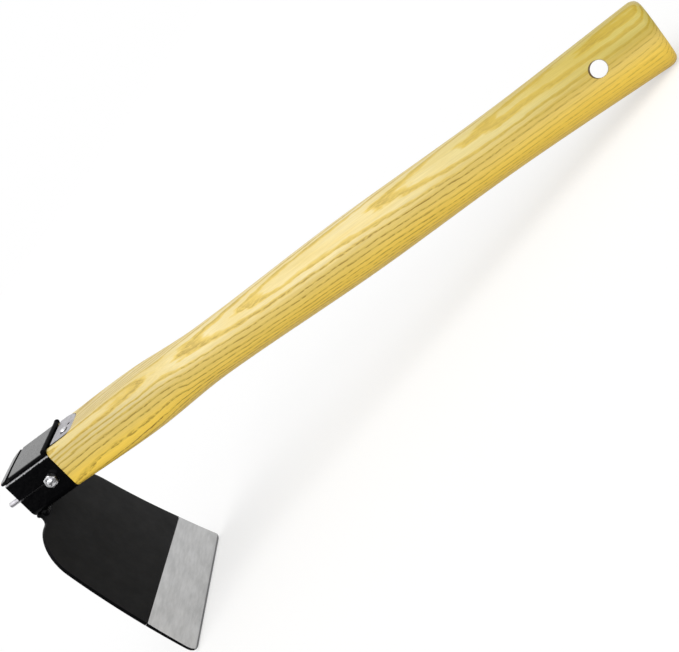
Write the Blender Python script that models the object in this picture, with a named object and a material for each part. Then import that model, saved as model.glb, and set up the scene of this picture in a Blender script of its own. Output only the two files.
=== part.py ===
# Japanese hoe: a steel blade welded under a socket, wedged and bolted on a wooden handle.
# Sizes are in metres. The tool frame starts in the middle of the socket's mouth:
# +X runs along the handle to the butt, +Y across it, +Z away from the blade.
import math

import bmesh
import bpy
from mathutils import Vector

# Clearance between pieces that touch, and how much further a cutter reaches
FIT_GAP = 0.0003
CUT_MARGIN = 0.001

# Socket
SOCKET_LENGTH = 0.0327
SOCKET_WIDTH = 0.0370
SOCKET_HEIGHT = 0.0280
SOCKET_WALL = 0.0025
FOLD_RADIUS = 0.0040
WALL_RIM_RADIUS = 0.0010
SHEET_EDGE_RADIUS = 0.0004
SLIT_WIDTH = 0.0008

# Plate over the socket
TOP_PLATE_THICKNESS = 0.0024
TOP_PLATE_LEDGE = 0.0007
TOP_PLATE_NOSE = 0.0040
TOP_PLATE_CORNER = 0.0060
TOP_PLATE_EDGE_RADIUS = 0.0012
GROOVE_FROM_NOSE = 0.0068
GROOVE_WIDTH = 0.0010
GROOVE_DEPTH = 0.0008

# Blade, dished towards the handle
BLADE_LENGTH = 0.1102
BLADE_FROM_HEAD = 0.0036
NECK_LEAN = math.radians(10.5)
BLADE_BEND_RADIUS = 0.515
BLADE_THICKNESS = 0.0022
BLADE_NECK_WIDTH = 0.0360
BLADE_SHOULDER_WIDTH = 0.0965
BLADE_EDGE_WIDTH = 0.1133
SHOULDER_DROP = 0.0050
SHOULDER_RADIUS = 0.0249
NECK_FILLET = 0.0040
GROUND_WIDTH = 0.0307
GROUND_SKEW = math.radians(1.6)
GROUND_THICKNESS = 0.0016
BEVEL_WIDTH = 0.0014
EDGE_THICKNESS = 0.0007
FAR_CORNER = 0.0025
NEAR_CORNER = 0.0055

# Weld beads at the blade's neck
WELD_LENGTH = 0.0320
WELD_TAPER = 0.0025
WELD_END_SHARE = 0.45
WELD_BACK_SOCKET_LEG = 0.0010
WELD_BACK_BLADE_LEG = 0.0030
WELD_FRONT_LEG = 0.0042
WELD_CROWN = 0.0008

# Wedge
WEDGE_WIDTH = 0.0275
WEDGE_TIP_THICKNESS = 0.0008
WEDGE_MOUTH_THICKNESS = 0.0035
WEDGE_TIP_FROM_HEAD = 0.0060
WEDGE_CRANK_LENGTH = 0.0032
TONGUE_THICKNESS = 0.0012
TONGUE_LENGTH = 0.0176
TONGUE_NEAR_CORNER = 0.0040
TONGUE_FAR_CORNER = 0.0110
SPARE_HOLE_RADIUS = 0.0010
SPARE_HOLE_FROM_MOUTH = 0.0133
SPARE_HOLE_SIDE = 0.0

# Nail through the wedge's tongue
NAIL_FROM_MOUTH = 0.0113
NAIL_SIDE = -0.0057
NAIL_RADIUS = 0.0010
NAIL_LENGTH = 0.0160
NAIL_POINT_LENGTH = 0.0025
NAIL_TIP_RADIUS = 0.00025
NAIL_HEAD_RADIUS = 0.0021
NAIL_HEAD_HEIGHT = 0.0012

# Bolt across the socket, with its nut on the near side
BOLT_FROM_MOUTH = 0.0077
BOLT_BELOW_AXIS = 0.0008
BOLT_RADIUS = 0.0020
BOLT_END = 0.0008
HEX_WIDTH = 0.0070
BOLT_HEAD_HEIGHT = 0.0028
NUT_HEIGHT = 0.0032
HEX_CHAMFER = 0.0004

# Pin driven into the head end beside the tenon
PIN_RADIUS = 0.0016
PIN_STAND_OUT = 0.0085
PIN_CHAMFER = 0.0004

# Handle, measured from the socket's mouth
HANDLE_LENGTH = 0.3872
HANDLE_BELOW_AXIS = 0.0004
HANDLE_DROOP = 0.0015
TENON_SETBACK = 0.0010
SHOULDER_STEP = 0.0005
SHOULDER_DEPTH = 0.0277
SWELL_FROM_MOUTH = 0.058
SWELL_WIDTH = 0.0335
SWELL_DEPTH = 0.0318
NECK_FROM_MOUTH = 0.106
NECK_WIDTH = 0.0285
NECK_DEPTH = 0.0304
BELLY_FROM_MOUTH = 0.205
BELLY_WIDTH = 0.0300
BELLY_DEPTH = 0.0340
WAIST_FROM_MOUTH = 0.298
WAIST_WIDTH = 0.0272
WAIST_DEPTH = 0.0324
BUTT_WIDTH = 0.0240
BUTT_DEPTH = 0.0370
BUTT_SLANT = math.radians(1.3)
BUTT_EDGE_LENGTH = 0.0050
BUTT_EDGE_SIDE_INSET = 0.0030
BUTT_EDGE_TOP_INSET = 0.0040

# Share of the handle's section that its corner curves take, from 0 square to 1 an ellipse
SHOULDER_CURVE_SHARE = 0.28
SWELL_CURVE_SHARE = 0.50
GRIP_CURVE_SHARE = 0.92
BUTT_CURVE_SHARE = 0.82

# Hanging hole, bored across the butt and canted up towards the near side
HANGING_HOLE_RADIUS = 0.0044
HANGING_HOLE_FROM_BUTT = 0.0326
HANGING_HOLE_CANT = math.radians(16.6)
HANGING_HOLE_RISE = 0.0009

# Mesh fineness
RING_SPACING = 0.0070
BLADE_ROWS = 20
CORNER_STEPS = 8
HEX_SIDE_STEPS = 4
BLADE_ARC_STEPS = 12
SMALL_ARC_STEPS = 4
HOLE_STEPS = 32
NAIL_STEPS = 16
RIM_SEGMENTS = 3
SHEET_EDGE_SEGMENTS = 2
SHARP_ANGLE = math.radians(35)
FOLD_ANGLE = math.radians(60)
REST_STEPS = 8

# Derived places in the tool frame
HEAD_X = -SOCKET_LENGTH
BLADE_X = HEAD_X + BLADE_FROM_HEAD
SOCKET_BOTTOM = -SOCKET_HEIGHT / 2
TOP_PLATE_UNDERSIDE = SOCKET_HEIGHT / 2 - TOP_PLATE_THICKNESS
WALL_TOP = TOP_PLATE_UNDERSIDE - FIT_GAP
INNER_HALF_WIDTH = SOCKET_WIDTH / 2 - SOCKET_WALL
BOLT_X = -BOLT_FROM_MOUTH
BOLT_Z = -BOLT_BELOW_AXIS
PIN_Y = -(INNER_HALF_WIDTH - FIT_GAP - PIN_RADIUS)
TONGUE_TOP = SOCKET_HEIGHT / 2
TONGUE_UNDERSIDE = TONGUE_TOP - TONGUE_THICKNESS
WEDGE_UPPER = TOP_PLATE_UNDERSIDE - FIT_GAP
WEDGE_TIP_X = HEAD_X + WEDGE_TIP_FROM_HEAD
BOLT_HOLE_RADIUS = BOLT_RADIUS + FIT_GAP
HEX_SIDE_ANGLE = math.radians(60)
HEX_CORNER = HEX_WIDTH / 2 / math.cos(HEX_SIDE_ANGLE / 2)
PIN_INNER_X = BOLT_X - BOLT_RADIUS - PIN_RADIUS
AXIS_X = Vector((1, 0, 0))
AXIS_Y = Vector((0, 1, 0))
AXIS_Z = Vector((0, 0, 1))


# Builds a mesh from a bmesh and puts it in the scene under its parent
def add_object(name, bm, parent, surface=None):
    bmesh.ops.recalc_face_normals(bm, faces=bm.faces)
    mesh = bpy.data.meshes.new(name)
    bm.to_mesh(mesh)
    bm.free()
    mesh.shade_smooth()
    mesh.set_sharp_from_angle(angle=SHARP_ANGLE)
    obj = bpy.data.objects.new(name, mesh)
    bpy.context.scene.collection.objects.link(obj)
    obj.parent = parent
    if surface is not None:
        mesh.materials.append(surface)
    return obj


# A shape that only cuts others
def add_cutter(name, bm, parent):
    cutter = add_object(name, bm, parent)
    cutter.hide_render = True
    cutter.display_type = "WIRE"
    return cutter


def cut(target, cutter):
    boolean = target.modifiers.new("cut_" + cutter.name, "BOOLEAN")
    boolean.operation = "DIFFERENCE"
    boolean.solver = "EXACT"
    boolean.object = cutter


def add_frame(name, parent=None):
    empty = bpy.data.objects.new(name, None)
    bpy.context.scene.collection.objects.link(empty)
    empty.parent = parent
    return empty


def make_material(name, colour, roughness, metallic):
    surface = bpy.data.materials.new(name)
    surface.use_nodes = True
    shader = surface.node_tree.nodes["Principled BSDF"]
    shader.inputs["Base Color"].default_value = (*colour, 1.0)
    shader.inputs["Roughness"].default_value = roughness
    shader.inputs["Metallic"].default_value = metallic
    return surface


# Skins a row of rings that have equal counts of points. A looped row has no ends to cap.
def loft(rings, looped=False):
    bm = bmesh.new()
    rows = [[bm.verts.new(point) for point in ring] for ring in rings]
    pairs = list(zip(rows, rows[1:]))
    if looped:
        pairs.append((rows[-1], rows[0]))
    else:
        bm.faces.new(rows[0])
        bm.faces.new(rows[-1])
    for first, second in pairs:
        for i in range(len(first)):
            j = (i + 1) % len(first)
            bm.faces.new((first[i], first[j], second[j], second[i]))
    bmesh.ops.recalc_face_normals(bm, faces=bm.faces)
    return bm


# Extrudes a closed outline of 3D points along a vector
def prism(outline, reach):
    start = [Vector(point) for point in outline]
    return loft([start, [point + Vector(reach) for point in start]])


def box(low, high):
    outline = [(low[0], low[1], low[2]), (high[0], low[1], low[2]),
               (high[0], high[1], low[2]), (low[0], high[1], low[2])]
    return prism(outline, (0, 0, high[2] - low[2]))


# Points along part of an ellipse, or of a circle where one radius is given
def arc(centre, radius, start, end, steps, second_radius=None):
    second_radius = radius if second_radius is None else second_radius
    points = []
    for i in range(steps + 1):
        angle = start + (end - start) * i / steps
        points.append((centre[0] + radius * math.cos(angle),
                       centre[1] + second_radius * math.sin(angle)))
    return points


# Circle of points round a centre, in the plane of two unit vectors
def round_ring(centre, across, up, radius, steps):
    ring = []
    for i in range(steps):
        angle = 2 * math.pi * i / steps
        ring.append(Vector(centre) + radius * (math.cos(angle) * across + math.sin(angle) * up))
    return ring


# Hexagon round the bolt, with its corners trimmed to a limiting radius
def hex_ring(y, limit):
    ring = []
    for side in range(6):
        for step in range(HEX_SIDE_STEPS):
            from_middle = HEX_SIDE_ANGLE * (step / HEX_SIDE_STEPS - 0.5)
            angle = HEX_SIDE_ANGLE * (side + 0.5) + from_middle
            radius = min(HEX_WIDTH / 2 / math.cos(from_middle), limit)
            ring.append((BOLT_X + radius * math.cos(angle), y, BOLT_Z + radius * math.sin(angle)))
    return ring


# Cuts away what lies beyond a plane and closes the cut with one face
def slice_off(bm, point, normal):
    everything = bm.verts[:] + bm.edges[:] + bm.faces[:]
    sliced = bmesh.ops.bisect_plane(bm, geom=everything, plane_co=point, plane_no=normal,
                                    clear_outer=True)
    rim = [item for item in sliced["geom_cut"] if isinstance(item, bmesh.types.BMEdge)]
    bmesh.ops.holes_fill(bm, edges=rim)


def round_edges(bm, chosen, radius, segments):
    edges = [edge for edge in bm.edges if chosen(edge)]
    bmesh.ops.bevel(bm, geom=edges, offset=radius, segments=segments, profile=0.5,
                    affect="EDGES", clamp_overlap=True)


def is_folded(edge):
    return edge.calc_face_angle(0.0) > FOLD_ANGLE


# Long edge along the top of a wall, on its outside
def is_wall_rim(edge):
    outside = all(abs(v.co.y) > INNER_HALF_WIDTH + FIT_GAP for v in edge.verts)
    return outside and all(v.co.z > WALL_TOP - FIT_GAP for v in edge.verts)


# Channel of folded sheet: a bottom and two walls, open at the top and at both ends
def make_socket_channel(tool, enamel):
    half = SOCKET_WIDTH / 2
    fold_centre = half - FOLD_RADIUS
    fold_height = SOCKET_BOTTOM + FOLD_RADIUS
    inner_radius = FOLD_RADIUS - SOCKET_WALL
    outside = [(half, WALL_TOP)]
    outside += arc((fold_centre, fold_height), FOLD_RADIUS, 0, -math.pi / 2, CORNER_STEPS)
    outside += arc((-fold_centre, fold_height), FOLD_RADIUS, -math.pi / 2, -math.pi, CORNER_STEPS)
    outside += [(-half, WALL_TOP)]
    inside = [(-INNER_HALF_WIDTH, WALL_TOP)]
    inside += arc((-fold_centre, fold_height), inner_radius, -math.pi, -math.pi / 2, CORNER_STEPS)
    inside += arc((fold_centre, fold_height), inner_radius, -math.pi / 2, 0, CORNER_STEPS)
    inside += [(INNER_HALF_WIDTH, WALL_TOP)]
    bm = prism([(HEAD_X, y, z) for y, z in outside + inside], (SOCKET_LENGTH, 0, 0))
    round_edges(bm, is_wall_rim, WALL_RIM_RADIUS, RIM_SEGMENTS)
    round_edges(bm, is_folded, SHEET_EDGE_RADIUS, SHEET_EDGE_SEGMENTS)
    return add_object("socket_channel", bm, tool, enamel)


# Slit at the bolt's height, from the head end to the bolt
def make_slit_cutter(tool):
    near_face = -SOCKET_WIDTH / 2
    low = (HEAD_X - CUT_MARGIN, near_face - CUT_MARGIN, BOLT_Z - SLIT_WIDTH / 2)
    high = (BOLT_X, near_face + SOCKET_WALL + CUT_MARGIN, BOLT_Z + SLIT_WIDTH / 2)
    return add_cutter("slit_cutter", box(low, high), tool)


# Plate on the channel's walls, with round corners at its nose and a groove across it
def make_top_plate(tool, enamel):
    half = SOCKET_WIDTH / 2 - TOP_PLATE_LEDGE
    top = TOP_PLATE_UNDERSIDE + TOP_PLATE_THICKNESS
    nose_x = HEAD_X - TOP_PLATE_NOSE
    corner_x = nose_x + TOP_PLATE_CORNER
    corner_y = half - TOP_PLATE_CORNER
    outline = [(0.0, -half), (0.0, half)]
    outline += arc((corner_x, corner_y), TOP_PLATE_CORNER, math.pi / 2, math.pi, CORNER_STEPS)
    outline += arc((corner_x, -corner_y), TOP_PLATE_CORNER, math.pi, 3 * math.pi / 2, CORNER_STEPS)
    bm = prism([(x, y, TOP_PLATE_UNDERSIDE) for x, y in outline], (0, 0, TOP_PLATE_THICKNESS))
    middle = (top + TOP_PLATE_UNDERSIDE) / 2

    def is_upper(edge):
        return min(v.co.z for v in edge.verts) > middle

    round_edges(bm, is_upper, TOP_PLATE_EDGE_RADIUS, RIM_SEGMENTS)
    plate = add_object("top_plate", bm, tool, enamel)
    groove_x = nose_x + GROOVE_FROM_NOSE
    low = (groove_x - GROOVE_WIDTH / 2, -half - CUT_MARGIN, top - GROOVE_DEPTH)
    high = (groove_x + GROOVE_WIDTH / 2, half + CUT_MARGIN, top + CUT_MARGIN)
    cut(plate, add_cutter("groove_cutter", box(low, high), tool))
    return plate


# Half outline of the blade as half width and distance down from the socket, neck to edge
def blade_half_outline(corner):
    neck = BLADE_NECK_WIDTH / 2
    shoulder_y = BLADE_SHOULDER_WIDTH / 2 - SHOULDER_RADIUS
    shoulder_v = SHOULDER_DROP + SHOULDER_RADIUS
    reach_y = BLADE_EDGE_WIDTH / 2 - shoulder_y
    reach_v = BLADE_LENGTH - shoulder_v
    flare = math.acos(SHOULDER_RADIUS / math.hypot(reach_y, reach_v)) - math.atan2(reach_v, reach_y)
    corner_y = BLADE_EDGE_WIDTH / 2 - corner * (1 + math.sin(flare)) / math.cos(flare)
    points = [(neck, -CUT_MARGIN)]
    points += arc((neck + NECK_FILLET, SHOULDER_DROP - NECK_FILLET), NECK_FILLET,
                  math.pi, math.pi / 2, SMALL_ARC_STEPS)
    points += arc((shoulder_y, shoulder_v), SHOULDER_RADIUS, -math.pi / 2, -flare, BLADE_ARC_STEPS)
    points += arc((corner_y, BLADE_LENGTH - corner), corner, -flare, math.pi / 2, SMALL_ARC_STEPS)
    return points


# The whole blade before it is bent, in its own frame: X out of its front, Z up to the socket
def blade_plate():
    outline = [(-BLADE_THICKNESS, y, -v) for y, v in blade_half_outline(FAR_CORNER)]
    outline += [(-BLADE_THICKNESS, -y, -v) for y, v in reversed(blade_half_outline(NEAR_CORNER))]
    return prism(outline, (BLADE_THICKNESS, 0, 0))


# Point on the line where the ground band starts, and the way down from the line
def ground_line():
    point = Vector((0, 0, GROUND_WIDTH - BLADE_LENGTH))
    return point, Vector((0, -math.sin(GROUND_SKEW), -math.cos(GROUND_SKEW)))


# Grinds the front back by a depth at the edge, from a line at a distance above it
def grind(bm, skew, distance, start_depth, end_depth):
    slope = math.atan2(end_depth - start_depth, distance)
    downwards = Vector((0, -math.sin(skew), -math.cos(skew)))
    outwards = math.cos(slope) * AXIS_X + math.sin(slope) * downwards
    slice_off(bm, Vector((-start_depth, 0, distance - BLADE_LENGTH)), outwards)


# Cuts the plate into rows and bends them round the dish's axis in front of the blade
def bend(bm):
    for row in range(BLADE_ROWS):
        level = Vector((0, 0, -BLADE_LENGTH * (row + 0.5) / BLADE_ROWS))
        everything = bm.verts[:] + bm.edges[:] + bm.faces[:]
        bmesh.ops.bisect_plane(bm, geom=everything, plane_co=level, plane_no=AXIS_Z)
    bmesh.ops.triangulate(bm, faces=bm.faces[:])
    for v in bm.verts:
        angle = -v.co.z / BLADE_BEND_RADIUS
        reach = BLADE_BEND_RADIUS - v.co.x
        v.co.x = BLADE_BEND_RADIUS - reach * math.cos(angle)
        v.co.z = -reach * math.sin(angle)


def make_blade(blade_frame, paint):
    bm = blade_plate()
    point, downwards = ground_line()
    slice_off(bm, point, downwards)
    upwards = Vector((math.sin(NECK_LEAN), 0, math.cos(NECK_LEAN)))
    slice_off(bm, -FIT_GAP * upwards, upwards)
    bend(bm)
    return add_object("blade", bm, blade_frame, paint)


# Ground band with a narrow bevel along the edge
def make_cutting_edge(blade_frame, steel):
    bm = blade_plate()
    point, downwards = ground_line()
    slice_off(bm, point + FIT_GAP * downwards, -downwards)
    grind(bm, GROUND_SKEW, GROUND_WIDTH, 0.0, BLADE_THICKNESS - GROUND_THICKNESS)
    grind(bm, 0.0, BEVEL_WIDTH, BLADE_THICKNESS - GROUND_THICKNESS, BLADE_THICKNESS - EDGE_THICKNESS)
    bend(bm)
    return add_object("cutting_edge", bm, blade_frame, steel)


# Weld bead along the joint of two faces. Each face has a way along it, a way off it and a leg.
def make_bead(name, corner, faces, tool, bead_metal):
    (along_first, off_first, first_leg), (along_second, off_second, second_leg) = faces
    apart = (off_first + off_second) / (1 + off_first.dot(off_second))
    root = corner + FIT_GAP * apart
    first_toe = root + first_leg * along_first
    second_toe = root + second_leg * along_second
    pull = (first_toe + second_toe) / 2 + 2 * WELD_CROWN * apart.normalized()
    section = [root]
    for i in range(2 * SMALL_ARC_STEPS + 1):
        t = i / (2 * SMALL_ARC_STEPS)
        section.append((1 - t) ** 2 * first_toe + 2 * t * (1 - t) * pull + t ** 2 * second_toe)
    half = WELD_LENGTH / 2
    full = half - WELD_TAPER
    stations = ((-half, WELD_END_SHARE), (-full, 1), (full, 1), (half, WELD_END_SHARE))
    rings = []
    for y, share in stations:
        rings.append([root + share * (point - root) + y * AXIS_Y for point in section])
    return add_object(name, loft(rings), tool, bead_metal)


# Beads where the blade's neck meets the socket: one behind the blade, one in front of it
def make_welds(tool, bead_metal):
    down_blade = Vector((math.sin(NECK_LEAN), 0, -math.cos(NECK_LEAN)))
    off_front = Vector((math.cos(NECK_LEAN), 0, math.sin(NECK_LEAN)))
    front_corner = Vector((BLADE_X, 0, SOCKET_BOTTOM))
    back_corner = front_corner - BLADE_THICKNESS / math.cos(NECK_LEAN) * AXIS_X
    back_faces = ((-AXIS_X, -AXIS_Z, WELD_BACK_SOCKET_LEG),
                  (down_blade, -off_front, WELD_BACK_BLADE_LEG))
    front_faces = ((AXIS_X, -AXIS_Z, WELD_FRONT_LEG),
                   (down_blade, off_front, WELD_FRONT_LEG))
    make_bead("weld_back", back_corner, back_faces, tool, bead_metal)
    make_bead("weld_front", front_corner, front_faces, tool, bead_metal)


# Height of the wedge's lower face, which slopes down to the mouth
def wedge_lower(x):
    share = (x - WEDGE_TIP_X) / -WEDGE_TIP_X
    thickness = WEDGE_TIP_THICKNESS + (WEDGE_MOUTH_THICKNESS - WEDGE_TIP_THICKNESS) * share
    return WEDGE_UPPER - thickness


# Wedge between the tenon and the top plate, cranked up to a tongue that lies on the wood
def make_wedge(tool, zinc):
    half = WEDGE_WIDTH / 2
    outline = [(WEDGE_TIP_X, WEDGE_UPPER), (FIT_GAP, WEDGE_UPPER), (WEDGE_CRANK_LENGTH, TONGUE_TOP),
               (TONGUE_LENGTH, TONGUE_TOP), (TONGUE_LENGTH, TONGUE_UNDERSIDE),
               (WEDGE_CRANK_LENGTH + FIT_GAP, TONGUE_UNDERSIDE), (FIT_GAP, wedge_lower(0.0)),
               (WEDGE_TIP_X, wedge_lower(WEDGE_TIP_X))]
    bm = prism([(x, -half, z) for x, z in outline], (0, WEDGE_WIDTH, 0))
    round_tongue_end(bm, 0.0)
    wedge = add_object("wedge", bm, tool, zinc)
    low = (SPARE_HOLE_FROM_MOUTH, SPARE_HOLE_SIDE, TONGUE_UNDERSIDE - CUT_MARGIN)
    high = (SPARE_HOLE_FROM_MOUTH, SPARE_HOLE_SIDE, TONGUE_TOP + CUT_MARGIN)
    rings = [round_ring(end, AXIS_X, AXIS_Y, SPARE_HOLE_RADIUS, HOLE_STEPS) for end in (low, high)]
    cut(wedge, add_cutter("spare_hole_cutter", loft(rings), tool))
    return wedge


# Upright edge at the end of the tongue or of its seat
def is_tongue_corner(edge):
    first, second = (v.co for v in edge.verts)
    return abs(first.y - second.y) < FIT_GAP and min(first.x, second.x) > TONGUE_LENGTH - FIT_GAP


def is_near_tongue_corner(edge):
    return is_tongue_corner(edge) and edge.verts[0].co.y < 0


def is_far_tongue_corner(edge):
    return is_tongue_corner(edge) and edge.verts[0].co.y > 0


# Rounds the end of the tongue, or with a clearance the end of its seat
def round_tongue_end(bm, clearance):
    round_edges(bm, is_near_tongue_corner, TONGUE_NEAR_CORNER + clearance, CORNER_STEPS)
    round_edges(bm, is_far_tongue_corner, TONGUE_FAR_CORNER + clearance, CORNER_STEPS)


# Seat for the wedge in the wood: down the crank and along under the tongue
def make_wedge_seat_cutter(tool):
    half = WEDGE_WIDTH / 2 + FIT_GAP
    seat_bottom = TONGUE_UNDERSIDE - FIT_GAP
    seat_end = TONGUE_LENGTH + FIT_GAP
    outline = [(-CUT_MARGIN, wedge_lower(0.0) - FIT_GAP), (2 * FIT_GAP, wedge_lower(0.0) - FIT_GAP),
               (WEDGE_CRANK_LENGTH + 2 * FIT_GAP, seat_bottom), (seat_end, seat_bottom),
               (seat_end, SOCKET_HEIGHT), (-CUT_MARGIN, SOCKET_HEIGHT)]
    bm = prism([(x, -half, z) for x, z in outline], (0, 2 * half, 0))
    round_tongue_end(bm, FIT_GAP)
    return add_cutter("wedge_seat_cutter", bm, tool)


# Nail with a domed head on the tongue
def make_nail(tool, zinc):
    seat = TONGUE_TOP + FIT_GAP
    tip = seat - NAIL_LENGTH
    rings = []
    for i in range(SMALL_ARC_STEPS):
        angle = math.pi / 2 * (1 - (i + 1) / (SMALL_ARC_STEPS + 1))
        height = NAIL_HEAD_HEIGHT * math.sin(angle)
        rings.append(nail_ring(seat + height, NAIL_HEAD_RADIUS * math.cos(angle)))
    rings += [nail_ring(seat, NAIL_HEAD_RADIUS), nail_ring(seat, NAIL_RADIUS)]
    rings += [nail_ring(tip + NAIL_POINT_LENGTH, NAIL_RADIUS), nail_ring(tip, NAIL_TIP_RADIUS)]
    return add_object("wedge_nail", loft(rings), tool, zinc)


def nail_ring(z, radius):
    return round_ring((NAIL_FROM_MOUTH, NAIL_SIDE, z), AXIS_X, AXIS_Y, radius, NAIL_STEPS)


def make_nail_hole_cutter(tool):
    levels = (TONGUE_TOP - NAIL_LENGTH - FIT_GAP, TONGUE_TOP + CUT_MARGIN)
    rings = [nail_ring(z, NAIL_RADIUS + FIT_GAP) for z in levels]
    return add_cutter("nail_hole_cutter", loft(rings), tool)


# Ring round the bolt's axis, with as many points as the hexagon has
def bolt_ring(y, radius):
    return round_ring((BOLT_X, y, BOLT_Z), AXIS_X, AXIS_Z, radius, 6 * HEX_SIDE_STEPS)


# Bolt with its hexagon head on the far wall and its end through the nut on the near wall
def make_bolt(tool, zinc):
    head_seat = SOCKET_WIDTH / 2 + FIT_GAP
    head_top = head_seat + BOLT_HEAD_HEIGHT
    end = -(head_seat + NUT_HEIGHT + BOLT_END)
    rings = [hex_ring(head_top, HEX_WIDTH / 2), hex_ring(head_top - HEX_CHAMFER, HEX_CORNER),
             hex_ring(head_seat, HEX_CORNER), bolt_ring(head_seat, BOLT_RADIUS),
             bolt_ring(end + HEX_CHAMFER, BOLT_RADIUS), bolt_ring(end, BOLT_RADIUS - HEX_CHAMFER)]
    return add_object("cross_bolt", loft(rings), tool, zinc)


def make_nut(tool, zinc):
    seat = -(SOCKET_WIDTH / 2 + FIT_GAP)
    top = seat - NUT_HEIGHT
    rings = [hex_ring(seat, HEX_CORNER), hex_ring(top + HEX_CHAMFER, HEX_CORNER),
             hex_ring(top, HEX_WIDTH / 2), bolt_ring(top, BOLT_HOLE_RADIUS),
             bolt_ring(seat, BOLT_HOLE_RADIUS)]
    return add_object("bolt_nut", loft(rings, looped=True), tool, zinc)


def make_bolt_hole_cutter(tool):
    reach = SOCKET_WIDTH / 2 + CUT_MARGIN
    rings = [bolt_ring(y, BOLT_HOLE_RADIUS) for y in (-reach, reach)]
    return add_cutter("bolt_hole_cutter", loft(rings), tool)


def pin_ring(x, radius):
    return round_ring((x, PIN_Y, BOLT_Z), AXIS_Y, AXIS_Z, radius, NAIL_STEPS)


# Plain pin along the near wall, level with the slit
def make_pin(tool, zinc):
    outer_x = HEAD_X - PIN_STAND_OUT
    end_radius = PIN_RADIUS - PIN_CHAMFER
    rings = [pin_ring(PIN_INNER_X, end_radius), pin_ring(PIN_INNER_X - PIN_CHAMFER, PIN_RADIUS),
             pin_ring(outer_x + PIN_CHAMFER, PIN_RADIUS), pin_ring(outer_x, end_radius)]
    return add_object("locking_pin", loft(rings), tool, zinc)


def make_pin_groove_cutter(tool):
    ends = (HEAD_X - CUT_MARGIN, PIN_INNER_X + FIT_GAP)
    rings = [pin_ring(x, PIN_RADIUS + FIT_GAP) for x in ends]
    return add_cutter("pin_groove_cutter", loft(rings), tool)


# Smooth curve through stations along the handle, with the slope of its neighbours at each
def smooth_through(stations, x):
    last = len(stations) - 1

    def slope(i):
        before, after = stations[max(i - 1, 0)], stations[min(i + 1, last)]
        return (after[1] - before[1]) / (after[0] - before[0])

    i = 0
    while i < last - 1 and x > stations[i + 1][0]:
        i += 1
    (start, first), (end, second) = stations[i], stations[i + 1]
    span = end - start
    t = (x - start) / span
    return (first * (1 + 2 * t) * (1 - t) ** 2 + second * t * t * (3 - 2 * t)
            + span * t * (1 - t) * (slope(i) * (1 - t) - slope(i + 1) * t))


# A size at a place along the handle, from its values at the six stations
def along_handle(x, mouth, swell, neck, belly, waist, butt):
    stations = ((0.0, mouth), (SWELL_FROM_MOUTH, swell), (NECK_FROM_MOUTH, neck),
                (BELLY_FROM_MOUTH, belly), (WAIST_FROM_MOUTH, waist), (HANDLE_LENGTH, butt))
    return smooth_through(stations, x)


def handle_width(x):
    shoulder = SOCKET_WIDTH - 2 * SHOULDER_STEP
    return along_handle(x, shoulder, SWELL_WIDTH, NECK_WIDTH, BELLY_WIDTH, WAIST_WIDTH, BUTT_WIDTH)


def handle_depth(x):
    return along_handle(x, SHOULDER_DEPTH, SWELL_DEPTH, NECK_DEPTH, BELLY_DEPTH, WAIST_DEPTH,
                        BUTT_DEPTH)


def handle_curve_share(x):
    return along_handle(x, SHOULDER_CURVE_SHARE, SWELL_CURVE_SHARE, GRIP_CURVE_SHARE, GRIP_CURVE_SHARE,
                        GRIP_CURVE_SHARE, BUTT_CURVE_SHARE)


def handle_centre(x):
    return -HANDLE_BELOW_AXIS - HANDLE_DROOP * x / HANDLE_LENGTH


# Rectangle across the handle with elliptical corners
def section_ring(x, half_width, low, high, corner_y, corner_z):
    across = half_width - corner_y
    ring = []
    for quarter, (y, z) in enumerate(((across, high - corner_z), (-across, high - corner_z),
                                      (-across, low + corner_z), (across, low + corner_z))):
        start = quarter * math.pi / 2
        corner = arc((y, z), corner_y, start, start + math.pi / 2, CORNER_STEPS, corner_z)
        ring += [(x, *point) for point in corner]
    return ring


def handle_ring(x, side_inset=0.0, top_inset=0.0):
    half_width = handle_width(x) / 2
    half_depth = handle_depth(x) / 2
    share = handle_curve_share(x)
    centre = handle_centre(x)
    return section_ring(x, half_width - side_inset, centre - half_depth + top_inset,
                        centre + half_depth - top_inset,
                        share * half_width - side_inset, share * half_depth - top_inset)


# Ring round the butt's edge, slanted so that the underside is the longer one
def butt_ring(x, side_inset, top_inset):
    return [(x - z * math.tan(BUTT_SLANT), y, z) for x, y, z in handle_ring(x, side_inset, top_inset)]


# Tenon in the socket, which leaves room for the wedge above it
def tenon_ring(x):
    corner = FOLD_RADIUS - SOCKET_WALL - FIT_GAP
    low = SOCKET_BOTTOM + SOCKET_WALL + FIT_GAP
    high = wedge_lower(x) - FIT_GAP
    return section_ring(x, INNER_HALF_WIDTH - FIT_GAP, low, high, corner, corner)


def make_handle(tool, wood):
    rings = [tenon_ring(HEAD_X + TENON_SETBACK), tenon_ring(FIT_GAP)]
    body_end = HANDLE_LENGTH - BUTT_EDGE_LENGTH
    steps = round((body_end - FIT_GAP) / RING_SPACING)
    for i in range(steps):
        rings.append(handle_ring(FIT_GAP + (body_end - FIT_GAP) * i / steps))
    for i in range(CORNER_STEPS + 1):
        angle = math.pi / 2 * i / CORNER_STEPS
        x = body_end + BUTT_EDGE_LENGTH * math.sin(angle)
        share = 1 - math.cos(angle)
        rings.append(butt_ring(x, share * BUTT_EDGE_SIDE_INSET, share * BUTT_EDGE_TOP_INSET))
    return add_object("handle", loft(rings), tool, wood)


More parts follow.
